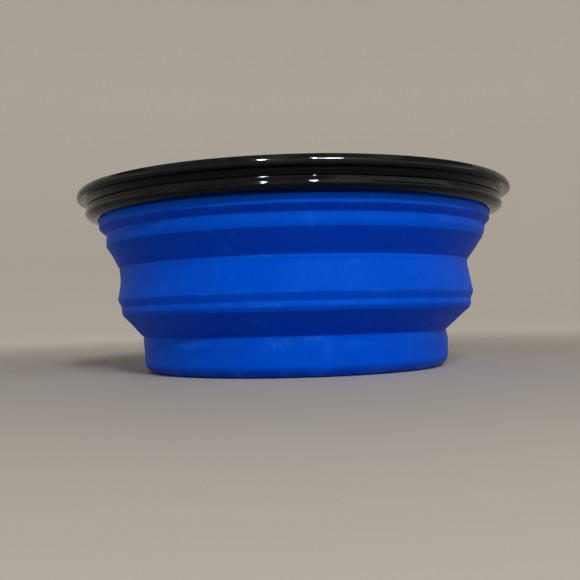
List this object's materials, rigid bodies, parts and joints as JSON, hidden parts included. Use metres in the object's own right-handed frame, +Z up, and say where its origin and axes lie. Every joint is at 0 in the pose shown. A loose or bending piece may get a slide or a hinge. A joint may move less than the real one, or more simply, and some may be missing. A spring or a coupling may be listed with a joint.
{
  "type": "collapsible travel bowl",
  "caption": "Round silicone travel bowl or cup with a glossy plastic rim, whose stepped wall folds down in two stages to a flat disc.",
  "frame": {"origin": "centre of the underside, on the plane of the foot", "axes": "+Z up along the bowl's axis, from the foot to the rim; X and Y lie in the foot's plane, and the bowl is round about Z"},
  "size_m": [0.13, 0.13, 0.0535],
  "materials": {
    "silicone": "smooth blue silicone with a satin sheen",
    "rim_plastic": "glossy black moulded plastic"
  },
  "bodies": {
    "base": {"base_cup": "silicone"},
    "lower_fold": {"lower_fold_panel": "silicone"},
    "middle": {"middle_ring": "silicone"},
    "upper_fold": {"upper_fold_panel": "silicone"},
    "rim": {"upper_collar": "silicone", "rim_clamp_ring": "rim_plastic", "rim_top_ring": "rim_plastic"}
  },
  "joints": [
    {"name": "lower_collapse", "type": "slide", "parent": "base", "child": "middle", "axis": [0, 0, -1], "range_m": [0, 0.0204], "deforming": ["lower_fold_panel"]},
    {"name": "lower_fold_follow", "type": "slide", "parent": "base", "child": "lower_fold", "axis": [0, 0, -1], "range_m": [0, 0.0102]},
    {"name": "upper_collapse", "type": "slide", "parent": "middle", "child": "rim", "axis": [0, 0, -1], "range_m": [0, 0.0204], "deforming": ["upper_fold_panel"]},
    {"name": "upper_fold_follow", "type": "slide", "parent": "middle", "child": "upper_fold", "axis": [0, 0, -1], "range_m": [0, 0.0102]}
  ],
  "couplings": [
    {"joint": "lower_fold_follow", "follows": "lower_collapse", "ratio": 0.5},
    {"joint": "upper_fold_follow", "follows": "upper_collapse", "ratio": 0.5}
  ]
}
